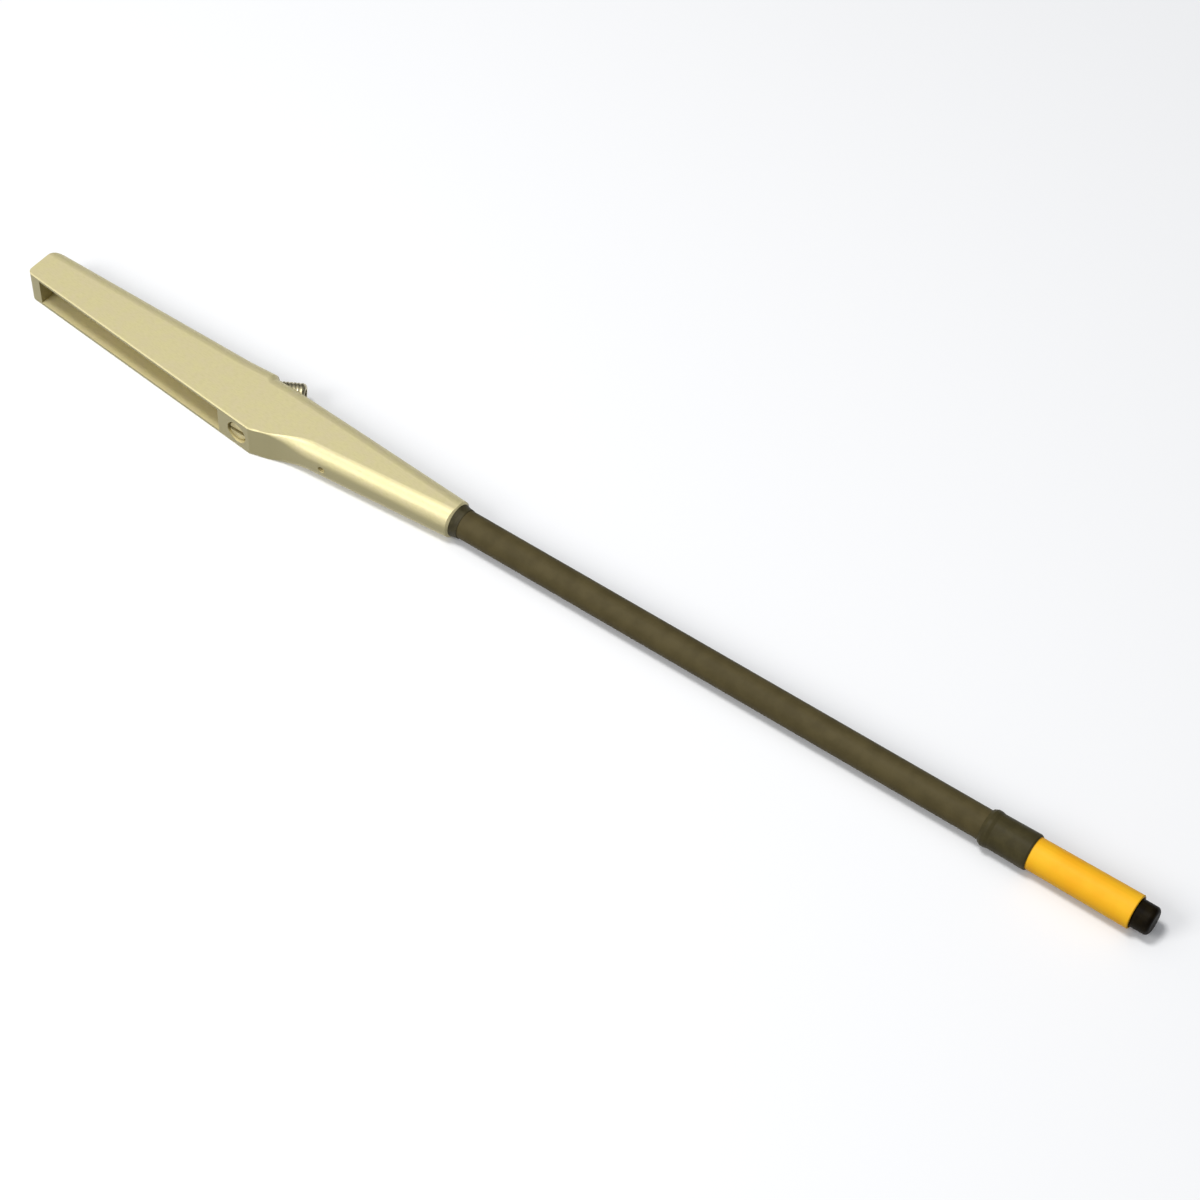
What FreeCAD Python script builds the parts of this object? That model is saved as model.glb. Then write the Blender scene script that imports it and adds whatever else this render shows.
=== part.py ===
import FreeCAD, Part
import math
import os

# Static discharger: a machined aluminium holder with an open side slot, a resistive rod bonded
# and pinned into the holder's neck, and a sleeved tip at the far end.
# Millimetres. X runs along the rod towards the tip, Y across the holder, Z through its thickness.
# The origin is on the underside, below the rod's axis, where the slot ends.

# Holder, seen from above
bar_thickness = 7.94          # flat bar that the holder is milled from
slot_height = 6.35            # gap that the mounting blade enters, between two thin plates
slot_length = 55.55
end_wall = 3.6                # closes the slot's free end
spine_wall = 3.6              # closes the slot's back
spine_face = 7.67             # back face, from the rod's axis
back_round = 3.9              # the back is rounded over its whole height
lip_rise = 0.4                # the back face swells a little towards the screw
lip_run = 7.0
lip_end = 3.1                 # where the swelling steps down to the block's back
lip_step = 1.1
block_back = 7.2              # back of the block, from the axis
near_face_end = 2.72          # slotted face, from the axis, at the free end
near_face_corner = 9.28       # and at the corner of the block
block_length = 9.05           # from the slot's end to that corner
edge_break = 0.25             # small chamfer on the edges of the slotted face
face_skim = 0.01              # taken off the broad faces after the edges are rounded
free_corner_near = 1.5        # corner radii of the free end, in plan
free_corner_back = 4.0

# Neck, from the block's corner to its mouth: flat above and below, with rounded sides that narrow
neck_length = 48.5
mouth_half = 4.05             # half the neck's width at the mouth
mouth_chamfer = 0.35
waist = 30.0                  # length of the plain taper
waist_near = 6.25             # near side from the axis, where the taper starts
waist_back = 6.05
waist_round = 3.2             # rounding of the near side's edges there
mouth_round = 3.7             # and at the mouth
shoulder_angle = 16.0         # of the near side, from the block's corner
shoulder_blend = 25.0         # arc that runs that side into the taper
shoulder_sections = 9
round_from = 3.0              # the near side's rounding starts this far past the corner
round_run = 11.0              # and is complete after this length

# Rod and the pin that holds it
rod_radius = 3.175
rod_depth = 38.0              # length inside the neck
rod_exposed = 126.9           # from the mouth to the boot
socket_clearance = 0.03
socket_end_gap = 0.4
pin_radius = 0.79
pin_from_mouth = 31.2
pin_recess = 0.45

# Screws
screw_radius = 2.41
screw_clearance = 0.03
screw_chamfer = 0.5
clamp_screw_angle = 30.0      # from the rod's axis, in plan
clamp_screw_length = 12.7
clamp_screw_end = (10.03, 8.32)   # centre of the outer end, in plan
clamp_point_radius = 1.3
hex_flats = 2.38
hex_depth = 2.3
lock_hole_radius = 2.62
lock_hole_from_slot = 5.5
lock_recess = 0.55
lock_tip_gap = 0.1
lock_point_radius = 1.2
lock_slot_width = 0.95
lock_slot_depth = 1.0

# Bead, boot, marker sleeve and tip
bead_length = 1.85
bead_radius = 3.66
bead_end_radius = 3.3
bore_clearance = 0.02
boot_length = 10.5
boot_radius = 3.72
boot_end_radius = 3.82
boot_ridge_radius = 3.9
boot_ridge_at = 1.1           # from the boot's start
boot_ramp = 0.35
boot_lap = 3.0                # the boot's length over the marker sleeve
sleeve_length = 25.2          # with the part under the boot
sleeve_radius = 3.43
sleeve_end_radius = 3.59
tip_shoulder = 6.0            # length inside the sleeve
tip_radius = 2.95
tip_length = 3.85             # beyond the sleeve
tip_round = 0.9

mid_height = bar_thickness / 2.0
free_end = -(slot_length + end_wall)
mouth = block_length + neck_length
waist_start = mouth - waist
rod_start = mouth - rod_depth
boot_start = mouth + rod_exposed
boot_end = boot_start + boot_length
sleeve_start = boot_end - boot_lap
sleeve_end = sleeve_start + sleeve_length
rod_end = sleeve_end - tip_shoulder
X_AXIS = FreeCAD.Vector(1, 0, 0)
Y_AXIS = FreeCAD.Vector(0, 1, 0)
Z_AXIS = FreeCAD.Vector(0, 0, 1)


def point(x, y, z):
    return FreeCAD.Vector(x, y, z)


def near_face(x):
    """Distance of the slotted face from the axis, at a station along the block and slot."""
    share = (x - free_end) / (block_length - free_end)
    return near_face_end + (near_face_corner - near_face_end) * share


def corner(side, wall, rounding, high):
    """Where one corner arc meets the flat, its middle, and where it meets the side wall.

    side is the wall's distance from the axis, and high is the flat's height above the axis."""
    centre_y = side - rounding
    centre_z = high - rounding
    return [(wall * (centre_y + rounding * math.cos(turn)), centre_z + rounding * math.sin(turn))
            for turn in (math.pi / 2.0, math.pi / 4.0, 0.0)]


def section(x, near, back, near_round):
    """Cross-section of the holder: two flats joined by upright side walls, with rounded edges."""
    high = bar_thickness / 2.0 + face_skim

    def place(spot, flip=1.0):
        return point(x, spot[0], mid_height + flip * spot[1])

    def edge(rounding, spots):
        if rounding > edge_break:
            return Part.Arc(*spots)
        return Part.LineSegment(spots[0], spots[2])

    back_arc = corner(back, 1.0, back_round, high)
    near_arc = corner(near, -1.0, near_round, high)
    outline = [
        edge(back_round, [place(spot) for spot in back_arc]),
        Part.LineSegment(place(back_arc[2]), place(back_arc[2], -1.0)),
        edge(back_round, [place(spot, -1.0) for spot in reversed(back_arc)]),
        Part.LineSegment(place(back_arc[0], -1.0), place(near_arc[0], -1.0)),
        edge(near_round, [place(spot, -1.0) for spot in near_arc]),
        Part.LineSegment(place(near_arc[2], -1.0), place(near_arc[2])),
        edge(near_round, [place(spot) for spot in reversed(near_arc)]),
        Part.LineSegment(place(near_arc[0]), place(back_arc[0]))]
    return Part.Wire([line.toShape() for line in outline])


def turned(profile):
    """Solid of revolution about the rod's axis, from (x, radius) points."""
    points = [point(x, 0, mid_height + radius) for x, radius in profile]
    face = Part.Face(Part.makePolygon(points + [points[0]]))
    return face.revolve(point(0, 0, mid_height), X_AXIS, 360)


def rounded_rod(start, end, radius, end_round=0.0):
    """Cylinder on the rod's axis, with its far edge rounded."""
    solid = Part.makeCylinder(radius, end - start, point(start, 0, mid_height), X_AXIS)
    if end_round > 0:
        rim = [edge for edge in solid.Edges
               if isinstance(edge.Curve, Part.Circle) and edge.Curve.Center.x > end - 1e-6]
        solid = solid.makeFillet(end_round, rim)
    return solid


def holder_bar():
    """Slotted part and block, lofted straight from station to station along the back face."""
    swell = spine_face + lip_rise
    stations = [(free_end, spine_face), (lip_end - lip_run, spine_face), (lip_end, swell),
                (lip_end + lip_step, block_back), (block_length, block_back)]
    sections = [section(x, near_face(x), back, edge_break) for x, back in stations]
    bar = Part.makeLoft(sections, True, True)
    return bar.common(free_end_plan())


def free_end_plan():
    """Planform prism that rounds the two upright corners of the free end."""
    near, far = -near_face(free_end), spine_face
    wide = near_face_corner + spine_face
    near_radius, far_radius = free_corner_near, free_corner_back
    slope = math.atan2(near_face_corner - near_face_end, block_length - free_end)
    reach = near_radius * math.tan((math.pi / 2 - slope) / 2)
    along = point(free_end + reach * math.cos(slope), near - reach * math.sin(slope), 0)
    square = point(free_end, near + reach, 0)
    centre = point(free_end + near_radius, near + reach, 0)
    middle = centre + (point(free_end, near, 0) - centre).normalize().multiply(near_radius)
    back_inset = far_radius * (1.0 - math.sqrt(0.5))
    back_middle = point(free_end + back_inset, far - back_inset, 0)
    back_square = point(free_end, far - far_radius, 0)
    back_along = point(free_end + far_radius, far, 0)
    swell_end = point(lip_end, wide, 0)
    block_far = point(block_length, wide, 0)
    block_near = point(block_length, -near_face_corner, 0)
    edges = [Part.Arc(along, middle, square).toShape(),
             Part.LineSegment(square, back_square).toShape(),
             Part.Arc(back_square, back_middle, back_along).toShape()]
    rim = [back_along, point(lip_end - lip_run, far, 0), point(lip_end - lip_run, wide, 0),
           swell_end, block_far, block_near, along]
    for start, end in zip(rim, rim[1:]):
        if start.distanceToPoint(end) > 1e-6:
            edges.append(Part.LineSegment(start, end).toShape())
    prism = Part.Face(Part.Wire(edges)).extrude(point(0, 0, 2 * bar_thickness))
    prism.translate(point(0, 0, -mid_height))
    return prism


def taper_side(x, waist_half):
    """Distance of the neck's side from the axis on its plain taper, carried on past the waist."""
    return mouth_half + (waist_half - mouth_half) * (mouth - x) / waist


def shoulder_side(x):
    """Near side of the shoulder: a straight slope, an arc, and then the taper."""
    slope = math.tan(math.radians(shoulder_angle))
    fall = (waist_near - mouth_half) / waist
    meet = block_length + (near_face_corner - taper_side(block_length, waist_near)) / (slope - fall)
    turn = (math.radians(shoulder_angle) - math.atan(fall)) / 2.0
    reach = shoulder_blend * math.tan(turn)
    if x <= meet - reach:
        return near_face_corner - slope * (x - block_length)
    if x >= meet + reach:
        return taper_side(x, waist_near)
    return taper_side(x, waist_near) + (meet + reach - x) ** 2 * (slope - fall) / (4.0 * reach)


def shoulder_round(x):
    """Rounding of the near side's edges, which eases in from the small chamfer."""
    share = (x - block_length - round_from) / round_run
    share = min(max(share, 0.0), 1.0)
    return edge_break + (waist_round - edge_break) * share * share * (3.0 - 2.0 * share)


def holder_shoulder():
    """The block's section eases into the taper at the waist."""
    sections = []
    for step in range(shoulder_sections + 1):
        share = step / shoulder_sections
        x = block_length + (waist_start - block_length) * share
        back = block_back + (waist_back - block_back) * share
        sections.append(section(x, shoulder_side(x), back, shoulder_round(x)))
    return Part.makeLoft(sections, True, False, False, 3)


def holder_taper():
    """Plain taper down to the mouth."""
    start = section(waist_start, waist_near, waist_back, waist_round)
    end = section(mouth, mouth_half, mouth_half, mouth_round)
    return Part.makeLoft([start, end], True, True)


def mouth_cone():
    """Everything inside the chamfer at the neck's mouth."""
    wide = 2 * near_face_corner
    rim = mouth_half - mouth_chamfer
    return turned([(free_end, 0), (free_end, wide), (mouth - wide + rim, wide), (mouth, rim),
                   (mouth, 0)])


def slot_space():
    """Pocket between the two plates, open along the slotted face."""
    deep = spine_face - spine_wall
    wide = near_face_corner + 2.0
    low = (bar_thickness - slot_height) / 2.0
    return Part.makeBox(slot_length, deep + wide, slot_height, point(-slot_length, -wide, low))


def clamp_screw_direction():
    angle = math.radians(clamp_screw_angle)
    return point(math.cos(angle), math.sin(angle), 0)


def clamp_screw_bore():
    direction = clamp_screw_direction()
    outer = point(clamp_screw_end[0], clamp_screw_end[1], mid_height)
    length = clamp_screw_length + 2 * screw_radius
    inner = outer - direction * (clamp_screw_length + screw_radius)
    return Part.makeCylinder(screw_radius + screw_clearance, length, inner, direction)


def lock_axis_start():
    """Centre of the locking screw's hole on the slotted face."""
    return point(lock_hole_from_slot, -near_face(lock_hole_from_slot), mid_height)


def lock_tip():
    """Where the locking screw's point stops, just short of the clamp screw's side."""
    angle = math.radians(clamp_screw_angle)
    axis_y = clamp_screw_end[1] - (clamp_screw_end[0] - lock_hole_from_slot) * math.tan(angle)
    side = axis_y - screw_radius / math.cos(angle)
    lean = lock_point_radius * math.tan(angle)
    return side - lean - lock_tip_gap


def lock_bore():
    start = lock_axis_start() - Y_AXIS * lock_hole_radius
    length = lock_tip() - start.y
    return Part.makeCylinder(lock_hole_radius, length, start, Y_AXIS)


def pin_centre():
    return mouth - pin_from_mouth


def pin_half_length():
    return taper_side(pin_centre(), waist_back)


def pin_bore(radius):
    half = 2 * near_face_corner
    return Part.makeCylinder(radius, 2 * half, point(pin_centre(), -half, mid_height), Y_AXIS)


def holder():
    socket_start = rod_start - socket_end_gap
    socket = Part.makeCylinder(rod_radius + socket_clearance, mouth - socket_start + 1.0,
                               point(socket_start, 0, mid_height), X_AXIS)
    faces = Part.makeBox(mouth - free_end, 4 * near_face_corner, bar_thickness,
                         point(free_end, -2 * near_face_corner, 0))
    solid = holder_bar().fuse([holder_shoulder(), holder_taper()]).common(faces).removeSplitter()
    solid = solid.common(mouth_cone())
    for space in (slot_space(), clamp_screw_bore(), lock_bore(), socket,
                  pin_bore(pin_radius + socket_clearance)):
        solid = solid.cut(space)
    return solid


def set_screw(outer_end, direction, length, radius, point_radius):
    """Headless screw: chamfered outer rim and a cone point, along direction to its outer end."""
    lead = radius - point_radius
    profile = [(0, 0), (0, point_radius), (lead, radius), (length - screw_chamfer, radius),
               (length, radius - screw_chamfer), (length, 0)]
    points = [point(x, 0, z) for x, z in profile]
    face = Part.Face(Part.makePolygon(points + [points[0]]))
    solid = face.revolve(point(0, 0, 0), X_AXIS, 360)
    solid.Placement = FreeCAD.Placement(outer_end - direction * length,
                                        FreeCAD.Rotation(X_AXIS, direction))
    return solid


def clamp_screw():
    """Angled screw that clamps the mounting blade, with a hexagon socket in its outer end."""
    direction = clamp_screw_direction()
    outer = point(clamp_screw_end[0], clamp_screw_end[1], mid_height)
    corner_radius = hex_flats / math.sqrt(3.0)
    corners = []
    for step in range(6):
        turn = math.radians(60 * step)
        corners.append(point(0, corner_radius * math.cos(turn), corner_radius * math.sin(turn)))
    socket = Part.Face(Part.makePolygon(corners + [corners[0]])).extrude(X_AXIS * hex_depth)
    socket.Placement = FreeCAD.Placement(outer - direction * (hex_depth - 0.01),
                                         FreeCAD.Rotation(X_AXIS, direction))
    body = set_screw(outer, direction, clamp_screw_length, screw_radius, clamp_point_radius)
    return body.cut(socket)


def lock_screw():
    """Slotted screw in the slotted face, which bears on the clamp screw's side."""
    outer = lock_axis_start() + Y_AXIS * lock_recess
    length = lock_tip() - lock_tip_gap - outer.y
    radius = lock_hole_radius - screw_clearance
    body = set_screw(outer, Y_AXIS * -1, length, radius, lock_point_radius)
    slot = Part.makeBox(4 * radius, lock_slot_depth + radius, lock_slot_width,
                        point(outer.x - 2 * radius, outer.y - radius,
                              mid_height - lock_slot_width / 2.0))
    return body.cut(slot)


def retaining_pin():
    half = pin_half_length() - pin_recess
    return Part.makeCylinder(pin_radius, 2 * half, point(pin_centre(), -half, mid_height), Y_AXIS)


def rod():
    return rounded_rod(rod_start, rod_end, rod_radius).cut(pin_bore(pin_radius + 0.01))


def sealant_bead():
    """Fillet of sealant between the neck's mouth and the rod."""
    inner = rod_radius + bore_clearance
    half = bead_length / 2.0
    mean = (bead_radius + bead_end_radius) / 2.0
    waisted = mean - (bead_radius - bead_end_radius) / 5.0
    return turned([(mouth, inner), (mouth, bead_radius), (mouth + half, waisted),
                   (mouth + bead_length, bead_end_radius), (mouth + bead_length, inner)])


def boot():
    """Shrunk boot over the rod's end and the marker sleeve's start, with a ridge at its edge."""
    inner = rod_radius + bore_clearance
    lap_inner = sleeve_radius + 0.05
    ridge = boot_start + boot_ridge_at
    settle = ridge + boot_ridge_at
    return turned([(boot_start, inner), (boot_start, rod_radius + boot_ramp),
                   (ridge - boot_ramp, boot_ridge_radius), (ridge + boot_ramp, boot_ridge_radius),
                   (settle, boot_radius), (boot_end - boot_ramp, boot_end_radius),
                   (boot_end, boot_end_radius - boot_ramp / 2.0), (boot_end, lap_inner),
                   (sleeve_start, lap_inner), (sleeve_start, inner)])


def marker_sleeve():
    """Coloured sleeve, a little wider at its open end."""
    inner = rod_radius + bore_clearance
    edge = 0.15
    return turned([(sleeve_start, inner), (sleeve_start, sleeve_radius),
                   (boot_end, sleeve_radius), (sleeve_end - edge, sleeve_end_radius),
                   (sleeve_end, sleeve_end_radius - edge), (sleeve_end, inner)])


def discharge_tip():
    shoulder_part = rounded_rod(sleeve_end - tip_shoulder + 0.05, sleeve_end - 0.1, rod_radius)
    nose = rounded_rod(sleeve_end - 0.2, sleeve_end + tip_length, tip_radius, tip_round)
    return shoulder_part.fuse(nose).removeSplitter()


nodes = {
    "holder": holder,
    "clamp_screw": clamp_screw,
    "lock_screw": lock_screw,
    "rod": rod,
    "retaining_pin": retaining_pin,
    "sealant_bead": sealant_bead,
    "boot": boot,
    "marker_sleeve": marker_sleeve,
    "discharge_tip": discharge_tip,
}

os.makedirs("parts", exist_ok=True)
for name, build in nodes.items():
    shape = build()
    box = shape.BoundBox
    print("%s: %d solid(s), %.1f mm3, valid %s, x %.2f..%.2f y %.2f..%.2f z %.2f..%.2f" % (
        name, len(shape.Solids), shape.Volume, shape.isValid(),
        box.XMin, box.XMax, box.YMin, box.YMax, box.ZMin, box.ZMax))
    shape.exportStep("parts/%s.step" % name)
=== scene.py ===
import math
import bmesh
import bpy
from mathutils import Matrix, Quaternion, Vector


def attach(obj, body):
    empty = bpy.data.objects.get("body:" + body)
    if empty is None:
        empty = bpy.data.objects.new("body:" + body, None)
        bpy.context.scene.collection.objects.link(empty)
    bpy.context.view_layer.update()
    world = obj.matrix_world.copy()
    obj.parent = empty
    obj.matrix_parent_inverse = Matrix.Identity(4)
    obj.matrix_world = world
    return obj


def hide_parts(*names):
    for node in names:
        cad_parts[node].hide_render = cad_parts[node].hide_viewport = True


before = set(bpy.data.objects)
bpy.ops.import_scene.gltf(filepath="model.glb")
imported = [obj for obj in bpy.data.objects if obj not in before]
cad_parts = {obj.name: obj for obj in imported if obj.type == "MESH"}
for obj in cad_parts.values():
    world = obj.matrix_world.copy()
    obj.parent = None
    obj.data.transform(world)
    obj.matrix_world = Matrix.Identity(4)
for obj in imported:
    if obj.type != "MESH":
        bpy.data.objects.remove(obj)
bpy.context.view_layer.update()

print("frame loaded:", len(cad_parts), "CAD nodes")

mm = 0.001
scene = bpy.context.scene
scene.view_settings.view_transform = "Standard"


def addNode(tree, kind, **settings):
    node = tree.nodes.new(kind)
    for name, value in settings.items():
        if name in node.inputs:
            node.inputs[name].default_value = value
        else:
            setattr(node, name, value)
    return node


def newMaterial(name, baseColor, metallic, specular):
    material = bpy.data.materials.new(name)
    material.use_nodes = True
    shader = material.node_tree.nodes["Principled BSDF"]
    shader.inputs["Base Color"].default_value = (*baseColor, 1.0)
    shader.inputs["Metallic"].default_value = metallic
    shader.inputs["Specular IOR Level"].default_value = specular
    return material, material.node_tree, shader


def newGroup(name, inputs, outputs):
    group = bpy.data.node_groups.new(name, "ShaderNodeTree")
    for label, kind, value in inputs:
        socket = group.interface.new_socket(name=label, in_out="INPUT", socket_type=kind)
        if value is not None:
            socket.default_value = value
    for label, kind in outputs:
        group.interface.new_socket(name=label, in_out="OUTPUT", socket_type=kind)
    start = group.nodes.new("NodeGroupInput")
    end = group.nodes.new("NodeGroupOutput")
    return group, start, end


def useGroup(tree, group, **values):
    node = tree.nodes.new("ShaderNodeGroup")
    node.node_tree = group
    for label, value in values.items():
        node.inputs[label].default_value = value
    coordinates = tree.nodes.new("ShaderNodeTexCoord")
    tree.links.new(coordinates.outputs["Object"], node.inputs["Place"])
    return node


def buildStreaks():
    # noise drawn out along one direction: brushing and drawing marks
    group, start, end = newGroup(
        "streaks",
        [("Place", "NodeSocketVector", None), ("Stretch", "NodeSocketVector", (60.0, 900.0, 900.0)),
         ("Detail", "NodeSocketFloat", 4.0)],
        [("Streak", "NodeSocketFloat")])
    links = group.links
    scaled = addNode(group, "ShaderNodeVectorMath", operation="MULTIPLY")
    noise = addNode(group, "ShaderNodeTexNoise", Scale=1.0, Roughness=0.6)
    links.new(start.outputs["Place"], scaled.inputs[0])
    links.new(start.outputs["Stretch"], scaled.inputs[1])
    links.new(scaled.outputs[0], noise.inputs["Vector"])
    links.new(start.outputs["Detail"], noise.inputs["Detail"])
    links.new(noise.outputs["Fac"], end.inputs["Streak"])
    return group


def buildMottle():
    # soft cloudy variation over a surface, with its contrast set by the material
    group, start, end = newGroup(
        "mottle",
        [("Place", "NodeSocketVector", None), ("Size", "NodeSocketFloat", 200.0),
         ("Low", "NodeSocketFloat", 0.35), ("High", "NodeSocketFloat", 0.65)],
        [("Cloud", "NodeSocketFloat"), ("Grain", "NodeSocketFloat")])
    links = group.links
    cloud = addNode(group, "ShaderNodeTexNoise", Detail=3.0, Roughness=0.5)
    grain = addNode(group, "ShaderNodeTexNoise", Detail=2.0, Roughness=0.7)
    finer = addNode(group, "ShaderNodeMath", operation="MULTIPLY")
    finer.inputs[1].default_value = 22.0
    spread = addNode(group, "ShaderNodeMapRange", interpolation_type="SMOOTHSTEP")
    links.new(start.outputs["Place"], cloud.inputs["Vector"])
    links.new(start.outputs["Size"], cloud.inputs["Scale"])
    links.new(start.outputs["Place"], grain.inputs["Vector"])
    links.new(start.outputs["Size"], finer.inputs[0])
    links.new(finer.outputs[0], grain.inputs["Scale"])
    links.new(cloud.outputs["Fac"], spread.inputs["Value"])
    links.new(start.outputs["Low"], spread.inputs["From Min"])
    links.new(start.outputs["High"], spread.inputs["From Max"])
    links.new(spread.outputs["Result"], end.inputs["Cloud"])
    links.new(grain.outputs["Fac"], end.inputs["Grain"])
    return group


streaks = buildStreaks()
mottle = buildMottle()


def mixColors(tree, factor, first, second):
    # each colour is written out, or comes from another node
    node = tree.nodes.new("ShaderNodeMix")
    node.data_type = "RGBA"
    tree.links.new(factor, node.inputs["Factor"])
    for label, color in (("A", first), ("B", second)):
        if isinstance(color, tuple):
            node.inputs[label].default_value = (*color, 1.0)
        else:
            tree.links.new(color, node.inputs[label])
    return node.outputs["Result"]


def mapRange(tree, value, low, high):
    node = tree.nodes.new("ShaderNodeMapRange")
    node.inputs["To Min"].default_value = low
    node.inputs["To Max"].default_value = high
    tree.links.new(value, node.inputs["Value"])
    return node.outputs["Result"]


def smoothRange(tree, value, low, high):
    # 0 to 1, softly, as the value goes from low to high
    node = addNode(tree, "ShaderNodeMapRange", interpolation_type="SMOOTHSTEP")
    node.inputs["From Min"].default_value = low
    node.inputs["From Max"].default_value = high
    tree.links.new(value, node.inputs["Value"])
    return node.outputs["Result"]


def bumpFrom(tree, shader, height, strength, distance):
    bump = addNode(tree, "ShaderNodeBump", Strength=strength, Distance=distance)
    tree.links.new(height, bump.inputs["Height"])
    tree.links.new(bump.outputs["Normal"], shader.inputs["Normal"])


# colours are linear, noise sizes are cycles per metre

holderFinish = {
    "flatLight": (0.76, 0.68, 0.35), "flatDark": (0.70, 0.62, 0.315), "tint": (0.75, 0.655, 0.385),
    # painted shade: the darker colour for faces turned sideways, where less light falls, and the normal-Z
    # range over which it fades in
    "side": (0.39, 0.345, 0.175), "sideFrom": 0.05, "sideTo": 0.60,
    "rough": (0.38, 0.50), "metallic": 0.3, "specular": 0.5,
    "cloudSize": 420.0, "cloudRange": (0.25, 0.75),
    "stretch": (900.0, 3400.0, 3400.0), "detail": 5.0, "grainRange": (0.25, 0.60),
    "bumpStrength": 0.25, "bumpDepth": 0.03 * mm,
}


def makeHolderMetal(name, finish):
    # broad faces brushed bright, with a faint pink cast in patches; faces turned away from the top and
    # bottom get a darker colour, which is painted shade
    material, tree, shader = newMaterial(name, finish["flatLight"], finish["metallic"], finish["specular"])
    low, high = finish["cloudRange"]
    brushed = useGroup(tree, streaks, Stretch=finish["stretch"], Detail=finish["detail"])
    clouds = useGroup(tree, mottle, Size=finish["cloudSize"], Low=low, High=high)
    faces = tree.nodes.new("ShaderNodeTexCoord")
    split = tree.nodes.new("ShaderNodeSeparateXYZ")
    upward = addNode(tree, "ShaderNodeMath", operation="ABSOLUTE")
    tree.links.new(faces.outputs["Normal"], split.inputs[0])
    tree.links.new(split.outputs["Z"], upward.inputs[0])
    # painted shade: flat faces keep their colour, faces turned sideways get the darker painted-shade colour
    unshadedShare = smoothRange(tree, upward.outputs[0], finish["sideFrom"], finish["sideTo"])
    grain = smoothRange(tree, brushed.outputs["Streak"], *finish["grainRange"])
    coating = mixColors(tree, clouds.outputs["Cloud"], finish["tint"], finish["flatLight"])
    flat = mixColors(tree, grain, finish["flatDark"], coating)
    color = mixColors(tree, unshadedShare, finish["side"], flat)
    tree.links.new(color, shader.inputs["Base Color"])
    tree.links.new(mapRange(tree, brushed.outputs["Streak"], *finish["rough"]), shader.inputs["Roughness"])
    bumpFrom(tree, shader, brushed.outputs["Streak"], finish["bumpStrength"], finish["bumpDepth"])
    return material


def makeClouded(name, finish):
    # cloudy colour and uneven gloss, with slight relief where the finish has any
    material, tree, shader = newMaterial(name, finish["light"], finish["metallic"], finish["specular"])
    low, high = finish["cloudRange"]
    clouds = useGroup(tree, mottle, Size=finish["cloudSize"], Low=low, High=high)
    color = mixColors(tree, clouds.outputs["Cloud"], finish["dark"], finish["light"])
    gloss = mapRange(tree, clouds.outputs[finish["roughFrom"]], *finish["rough"])
    tree.links.new(color, shader.inputs["Base Color"])
    tree.links.new(gloss, shader.inputs["Roughness"])
    if "bumpFrom" in finish:
        height = clouds.outputs[finish["bumpFrom"]]
        bumpFrom(tree, shader, height, finish["bumpStrength"], finish["bumpDepth"])
    return material


platedFinish = {
    "light": (0.62, 0.54, 0.28), "dark": (0.46, 0.39, 0.19), "metallic": 0.45, "specular": 0.5,
    "cloudSize": 500.0, "cloudRange": (0.35, 0.65), "roughFrom": "Grain", "rough": (0.32, 0.46),
}

steelFinish = {
    "light": (0.64, 0.57, 0.36), "dark": (0.44, 0.39, 0.24), "metallic": 1.0, "specular": 0.5,
    "cloudSize": 420.0, "cloudRange": (0.35, 0.65), "roughFrom": "Grain", "rough": (0.28, 0.42),
}

pinFinish = {
    "light": (0.68, 0.62, 0.44), "dark": (0.52, 0.46, 0.30), "metallic": 1.0, "specular": 0.5,
    "cloudSize": 700.0, "cloudRange": (0.3, 0.7), "roughFrom": "Grain", "rough": (0.28, 0.48),
}

sealantFinish = {
    "light": (0.066, 0.056, 0.026), "dark": (0.044, 0.036, 0.016), "metallic": 0.0, "specular": 0.15,
    "cloudSize": 900.0, "cloudRange": (0.3, 0.7), "roughFrom": "Cloud", "rough": (0.45, 0.60),
    "bumpFrom": "Cloud", "bumpStrength": 0.4, "bumpDepth": 0.08 * mm,
}

bootFinish = {
    "light": (0.066, 0.054, 0.022), "dark": (0.050, 0.041, 0.017), "metallic": 0.0, "specular": 0.08,
    "cloudSize": 420.0, "cloudRange": (0.3, 0.7), "roughFrom": "Grain", "rough": (0.38, 0.55),
    "bumpFrom": "Cloud", "bumpStrength": 0.3, "bumpDepth": 0.08 * mm,
}

tipFinish = {
    "light": (0.014, 0.010, 0.004), "dark": (0.006, 0.004, 0.002), "metallic": 0.0, "specular": 0.04,
    "cloudSize": 600.0, "cloudRange": (0.3, 0.7), "roughFrom": "Grain", "rough": (0.36, 0.52),
    "bumpFrom": "Grain", "bumpStrength": 0.15, "bumpDepth": 0.03 * mm,
}

rodFinish = {
    "light": (0.098, 0.077, 0.032), "dark": (0.078, 0.061, 0.025), "metallic": 0.0, "specular": 0.08,
    "cloudSize": 260.0, "cloudRange": (0.3, 0.7), "roughFrom": "Grain", "rough": (0.46, 0.62),
    "stretch": (90.0, 1500.0, 1500.0), "detail": 3.0, "drawnStrength": 0.3, "drawnDepth": 0.05 * mm,
}


def makeRodCoating(name, finish):
    # fine relief drawn out along the rod
    material = makeClouded(name, finish)
    tree = material.node_tree
    drawn = useGroup(tree, streaks, Stretch=finish["stretch"], Detail=finish["detail"])
    bumpFrom(tree, tree.nodes["Principled BSDF"], drawn.outputs["Streak"],
             finish["drawnStrength"], finish["drawnDepth"])
    return material


markerFinish = {
    "light": (1.0, 0.54, 0.020), "dark": (1.0, 0.475, 0.014), "metallic": 0.0, "specular": 0.15,
    "cloudSize": 150.0, "cloudRange": (0.3, 0.7), "roughFrom": "Grain", "rough": (0.42, 0.56),
    "subsurface": 0.05, "subsurfaceRadius": (0.001, 0.0005, 0.0002),
}


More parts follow.
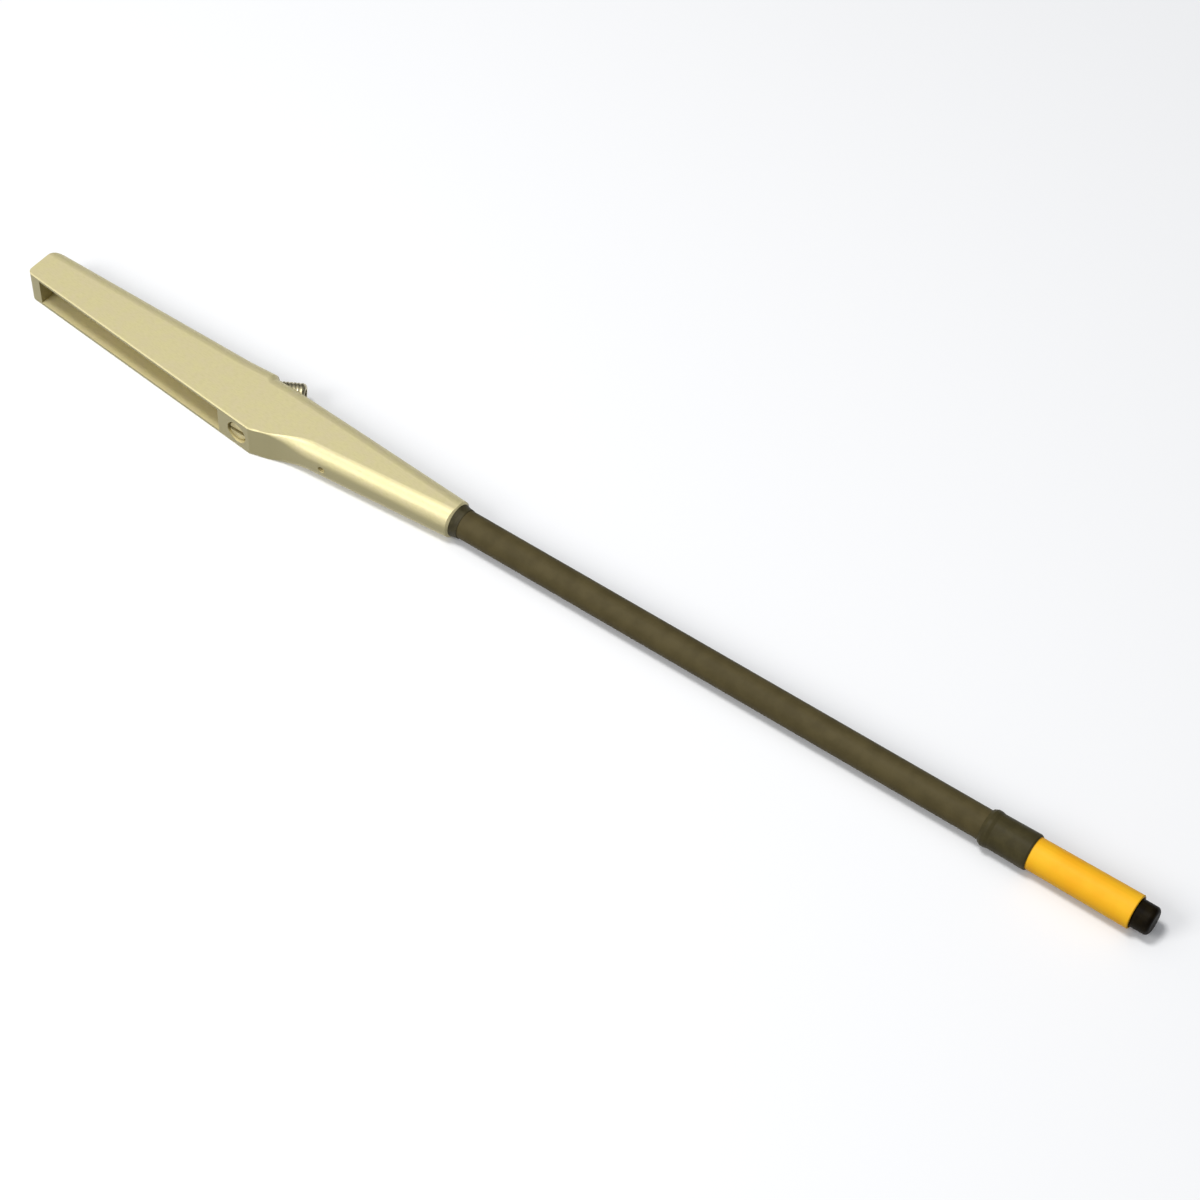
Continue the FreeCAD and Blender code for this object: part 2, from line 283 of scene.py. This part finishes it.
def makeMarkerPlastic(name, finish):
    material = makeClouded(name, finish)
    shader = material.node_tree.nodes["Principled BSDF"]
    shader.inputs["Subsurface Weight"].default_value = finish["subsurface"]
    shader.inputs["Subsurface Radius"].default_value = finish["subsurfaceRadius"]
    return material


finishes = {
    "holder": makeHolderMetal("holderMetal", holderFinish),
    "clamp_screw": makeClouded("screwSteel", steelFinish),
    "lock_screw": makeClouded("platedScrew", platedFinish),
    "rod": makeRodCoating("rodCoating", rodFinish),
    "retaining_pin": makeClouded("pinMetal", pinFinish),
    "sealant_bead": makeClouded("sealant", sealantFinish),
    "boot": makeClouded("bootRubber", bootFinish),
    "marker_sleeve": makeMarkerPlastic("markerPlastic", markerFinish),
    "discharge_tip": makeClouded("tipPlastic", tipFinish),
}
for nodeName, finish in finishes.items():
    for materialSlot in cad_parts[nodeName].material_slots:
        materialSlot.material = finish
print("finishes made:", len(finishes))


# millimetres and degrees; rise and fall are the thread's flanks, as shares of the pitch
clampScrew = {
    "outerEnd": (10.03, 8.32, 3.97), "angle": 30.0, "length": 12.7, "radius": 2.41,
    "pitch": 0.794, "threadDepth": 0.14, "rise": (0.06, 0.28), "fall": (0.78, 1.0),
    "stepsPerTurn": 40, "spareTurns": 3, "turnsBeforePoint": 2.5, "threadWeld": 0.002,
    "socketFlats": 2.38, "socketDepth": 2.3, "chamfer": 0.5, "pointRadius": 1.3,
    "margin": 0.01, "roundSteps": 64, "turnedWeld": 0.0005, "sharpAngle": 40.0,
}


def applyModifiers(piece):
    evaluated = piece.evaluated_get(bpy.context.evaluated_depsgraph_get())
    mesh = bpy.data.meshes.new_from_object(evaluated)
    piece.modifiers.clear()
    piece.data = mesh


def meshObject(name, shape):
    mesh = bpy.data.meshes.new(name)
    shape.to_mesh(mesh)
    shape.free()
    piece = bpy.data.objects.new(name, mesh)
    scene.collection.objects.link(piece)
    return piece


def threadedRod(settings):
    # one pitch of the thread's outline, spun and carried along +X at once
    shape = bmesh.new()
    pitch, crest = settings["pitch"], settings["radius"]
    root = crest - settings["threadDepth"]
    rise, fall = settings["rise"], settings["fall"]
    outline = [(0.0, root), (rise[0] * pitch, root), (rise[1] * pitch, crest),
               (fall[0] * pitch, crest), (fall[1] * pitch, root)]
    verts = [shape.verts.new((x, 0.0, radius)) for x, radius in outline]
    edges = [shape.edges.new(pair) for pair in zip(verts, verts[1:])]
    turns = math.ceil(settings["length"] / pitch) + settings["spareTurns"]
    steps = turns * settings["stepsPerTurn"]
    bmesh.ops.spin(shape, geom=verts + edges, cent=(0, 0, 0), axis=(1, 0, 0), angle=2 * math.pi * turns,
                   dvec=(pitch / settings["stepsPerTurn"], 0, 0), steps=steps, use_merge=False,
                   use_normal_flip=False, use_duplicate=False)
    bmesh.ops.remove_doubles(shape, verts=shape.verts, dist=settings["threadWeld"])
    bmesh.ops.translate(shape, verts=shape.verts, vec=(-settings["turnsBeforePoint"] * pitch, 0, 0))
    for cutAt, outwards in ((0.0, -1), (settings["length"], 1)):
        everything = shape.verts[:] + shape.edges[:] + shape.faces[:]
        cut = bmesh.ops.bisect_plane(shape, geom=everything, dist=1e-5, plane_co=(cutAt, 0, 0),
                                     plane_no=(outwards, 0, 0), clear_outer=True)
        openEdges = [item for item in cut["geom_cut"] if isinstance(item, bmesh.types.BMEdge)]
        bmesh.ops.contextual_create(shape, geom=openEdges)
    bmesh.ops.recalc_face_normals(shape, faces=shape.faces)
    return shape


def screwEnvelope(settings):
    # turned outline of the screw: cone point, full diameter, chamfer
    shape = bmesh.new()
    margin, length = settings["margin"], settings["length"]
    point, chamfer = settings["pointRadius"], settings["chamfer"]
    crest = settings["radius"] + margin
    outline = [(-margin, 0.0), (-margin, point), (crest - point, crest), (length - chamfer, crest),
               (length + margin, crest - chamfer), (length + margin, 0.0)]
    verts = [shape.verts.new((x, 0.0, radius)) for x, radius in outline]
    edges = [shape.edges.new(pair) for pair in zip(verts, verts[1:])]
    bmesh.ops.spin(shape, geom=verts + edges, cent=(0, 0, 0), axis=(1, 0, 0), angle=2 * math.pi,
                   steps=settings["roundSteps"], use_merge=True, use_normal_flip=False, use_duplicate=False)
    bmesh.ops.remove_doubles(shape, verts=shape.verts, dist=settings["turnedWeld"])
    bmesh.ops.recalc_face_normals(shape, faces=shape.faces)
    return shape


def hexSocket(settings):
    shape = bmesh.new()
    radius = settings["socketFlats"] / math.sqrt(3.0)
    bmesh.ops.create_cone(shape, cap_ends=True, segments=6, radius1=radius, radius2=radius,
                          depth=2 * settings["socketDepth"])
    bmesh.ops.rotate(shape, verts=shape.verts, cent=(0, 0, 0), matrix=Matrix.Rotation(math.pi / 2, 3, "Y"))
    bmesh.ops.translate(shape, verts=shape.verts, vec=(settings["length"], 0, 0))
    bmesh.ops.recalc_face_normals(shape, faces=shape.faces)
    return shape


def combine(piece, tool, operation):
    modifier = piece.modifiers.new(operation.lower(), "BOOLEAN")
    modifier.operation = operation
    modifier.solver = "EXACT"
    modifier.object = tool
    applyModifiers(piece)
    bpy.data.objects.remove(tool)


def makeClampScrew(settings):
    piece = meshObject("clampScrew", threadedRod(settings))
    combine(piece, meshObject("screwEnvelope", screwEnvelope(settings)), "INTERSECT")
    combine(piece, meshObject("hexSocket", hexSocket(settings)), "DIFFERENCE")
    turn = Matrix.Rotation(math.radians(settings["angle"]), 4, "Z")
    outer = Matrix.Translation(settings["outerEnd"])
    inwards = Matrix.Translation((-settings["length"], 0, 0))
    piece.data.transform(Matrix.Scale(mm, 4) @ outer @ turn @ inwards)
    piece.data.materials.clear()
    piece.data.materials.append(finishes["clamp_screw"])
    piece.data.shade_smooth()
    piece.data.set_sharp_from_angle(angle=math.radians(settings["sharpAngle"]))
    return piece


threadedScrew = makeClampScrew(clampScrew)
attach(threadedScrew, "root")
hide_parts("clamp_screw")
print("clamp screw made:", len(threadedScrew.data.polygons), "faces")


stage = {
    "floorSize": 6.0, "floorColor": (0.98, 0.98, 0.98), "bounceColor": (0.26, 0.26, 0.26), "floorRough": 0.9,
    "darkColor": (0.05, 0.055, 0.065), "brightColor": (0.58, 0.59, 0.61),
    "brightSide": (-0.20, -0.40, 0.90), "darkAt": 0.10, "brightAt": 0.90, "worldStrength": 1.0,
}


def makeFloor(settings):
    shape = bmesh.new()
    bmesh.ops.create_grid(shape, x_segments=1, y_segments=1, size=settings["floorSize"] / 2)
    floor = meshObject("floor", shape)
    material, tree, shader = newMaterial("floorPaper", settings["floorColor"], 0.0, 0.0)
    shader.inputs["Roughness"].default_value = settings["floorRough"]
    # white to the camera and in reflections, darker where it throws light back up
    rays = tree.nodes.new("ShaderNodeLightPath")
    mirrored = addNode(tree, "ShaderNodeMath", operation="MAXIMUM")
    seen = addNode(tree, "ShaderNodeMath", operation="MAXIMUM")
    tree.links.new(rays.outputs["Is Glossy Ray"], mirrored.inputs[0])
    tree.links.new(rays.outputs["Is Transmission Ray"], mirrored.inputs[1])
    tree.links.new(rays.outputs["Is Camera Ray"], seen.inputs[0])
    tree.links.new(mirrored.outputs[0], seen.inputs[1])
    color = mixColors(tree, seen.outputs[0], settings["bounceColor"], settings["floorColor"])
    tree.links.new(color, shader.inputs["Base Color"])
    floor.data.materials.append(material)
    return floor


def makeWorld(settings):
    # brightest overhead and a little to the front, dark towards the back and the horizon
    world = bpy.data.worlds.new("studioAir")
    scene.world = world
    world.use_nodes = True
    tree = world.node_tree
    direction = tree.nodes.new("ShaderNodeTexCoord")
    towards = addNode(tree, "ShaderNodeVectorMath", operation="DOT_PRODUCT")
    towards.inputs[1].default_value = Vector(settings["brightSide"]).normalized()
    tree.links.new(direction.outputs["Generated"], towards.inputs[0])
    climb = smoothRange(tree, towards.outputs["Value"], settings["darkAt"], settings["brightAt"])
    color = mixColors(tree, climb, settings["darkColor"], settings["brightColor"])
    background = tree.nodes["Background"]
    tree.links.new(color, background.inputs["Color"])
    background.inputs["Strength"].default_value = settings["worldStrength"]


lightsAim = (0.06, 0.0, 0.0)
lights = {
    "frontLeft": {"place": (-0.25, -0.64, 0.54), "size": (0.38, 0.38), "power": 2.8},
    "overheadKey": {"place": (-0.10, -0.15, 0.97), "size": (0.24, 0.24), "power": 4.6},
}


def addSoftbox(name, settings, aim):
    lamp = bpy.data.lights.new(name, "AREA")
    lamp.shape = "RECTANGLE"
    lamp.size, lamp.size_y = settings["size"]
    lamp.energy = settings["power"]
    softbox = bpy.data.objects.new(name, lamp)
    softbox.location = settings["place"]
    softbox.rotation_mode = "QUATERNION"
    softbox.rotation_quaternion = (Vector(settings["place"]) - Vector(aim)).to_track_quat("Z", "Y")
    scene.collection.objects.link(softbox)


def makeLights():
    for name, settings in lights.items():
        addSoftbox(name, settings, lightsAim)


cameraView = {
    "place": (0.31180, -0.31702, 0.46741), "target": (0.09133, 0.00318, 0.0), "roll": 2.12,
    "lens": 90.0, "sensorWidth": 36.0, "clipStart": 0.01,
}


def makeCamera(settings):
    view = bpy.data.cameras.new("photoView")
    view.lens = settings["lens"]
    view.sensor_width = settings["sensorWidth"]
    view.clip_start = settings["clipStart"]
    camera = bpy.data.objects.new("photoView", view)
    camera.location = settings["place"]
    camera.rotation_mode = "QUATERNION"
    towards = (Vector(settings["place"]) - Vector(settings["target"])).to_track_quat("Z", "Y")
    camera.rotation_quaternion = towards @ Quaternion((0, 0, 1), math.radians(settings["roll"]))
    scene.collection.objects.link(camera)
    scene.camera = camera


makeFloor(stage)
makeWorld(stage)
makeLights()
makeCamera(cameraView)
print("floor, light and camera set")
